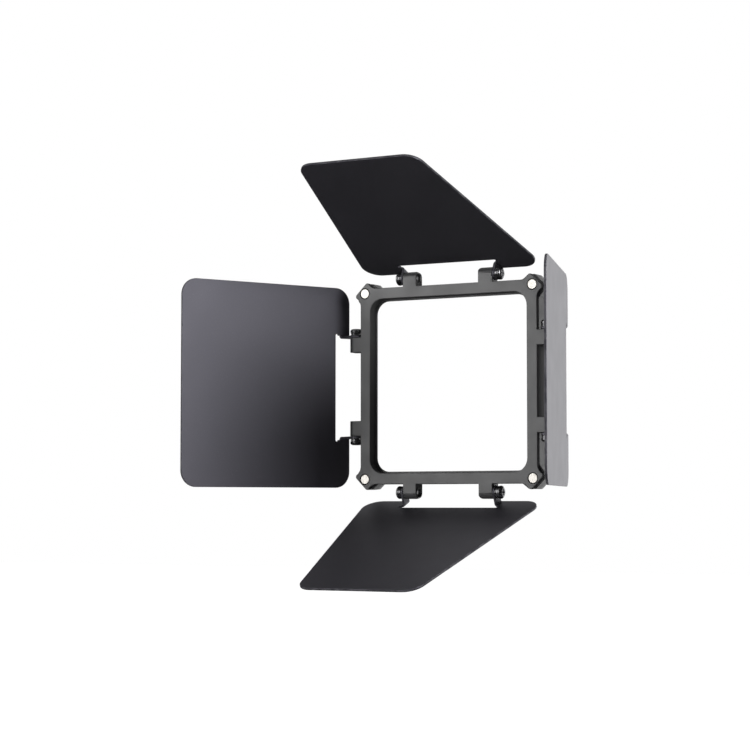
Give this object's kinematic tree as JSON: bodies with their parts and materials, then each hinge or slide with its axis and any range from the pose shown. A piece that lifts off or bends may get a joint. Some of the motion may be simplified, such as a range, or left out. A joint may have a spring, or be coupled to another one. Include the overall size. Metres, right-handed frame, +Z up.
{
  "type": "magnetic barn doors",
  "caption": "Square magnetic frame with hinged sheet leaves that shade and shape the beam of a small square LED light.",
  "frame": {"origin": "centre of the square opening on the seat, the ledge inside the back of the frame that rests on the light", "axes": "+Y out of the back towards the light, -Y the way the leaves open and the beam goes, +Z up, +X to the right seen from the front"},
  "size_m": [0.0869, 0.0434, 0.0866],
  "materials": {
    "frame": "black anodised, satin",
    "leaf": "thin sheet, black semi-matte coating",
    "magnet": "bright nickel plating",
    "screw": "dark nickel, machined",
    "washer": "spring steel, satin"
  },
  "bodies": {
    "frame": {"mounting_frame": "frame", "magnet_top_left": "magnet", "magnet_top_right": "magnet", "magnet_bottom_left": "magnet", "magnet_bottom_right": "magnet", "hinge_screw_top_left": "screw", "hinge_screw_top_right": "screw", "hinge_screw_bottom_left": "screw", "hinge_screw_bottom_right": "screw", "hinge_screw_left_upper": "screw", "hinge_screw_left_lower": "screw", "hinge_screw_right_upper": "screw", "hinge_screw_right_lower": "screw", "wave_washer_top_left": "washer", "wave_washer_top_right": "washer", "wave_washer_bottom_left": "washer", "wave_washer_bottom_right": "washer", "wave_washer_left_upper": "washer", "wave_washer_left_lower": "washer", "wave_washer_right_upper": "washer", "wave_washer_right_lower": "washer", "flat_washer_top_left": "washer", "flat_washer_top_right": "washer", "flat_washer_bottom_left": "washer", "flat_washer_bottom_right": "washer", "flat_washer_left_upper": "washer", "flat_washer_left_lower": "washer", "flat_washer_right_upper": "washer", "flat_washer_right_lower": "washer"},
    "top_leaf": {"top_leaf": "leaf"},
    "bottom_leaf": {"bottom_leaf": "leaf"},
    "left_leaf": {"left_leaf": "leaf"},
    "right_leaf": {"right_leaf": "leaf"}
  },
  "joints": [
    {"name": "top_leaf_hinge", "type": "hinge", "parent": "frame", "child": "top_leaf", "pos_m": [0, -0.00143, 0.0234], "axis": [-1, 0, 0], "range_deg": [-113.5, 56.5]},
    {"name": "bottom_leaf_hinge", "type": "hinge", "parent": "frame", "child": "bottom_leaf", "pos_m": [0, -0.00143, -0.0234], "axis": [1, 0, 0], "range_deg": [-112.5, 57.5]},
    {"name": "left_leaf_hinge", "type": "hinge", "parent": "frame", "child": "left_leaf", "pos_m": [-0.0234, -0.00143, 0], "axis": [0, 0, -1], "range_deg": [-115, 65]},
    {"name": "right_leaf_hinge", "type": "hinge", "parent": "frame", "child": "right_leaf", "pos_m": [0.0234, -0.00143, 0], "axis": [0, 0, 1], "range_deg": [-109.5, 70.5]}
  ]
}
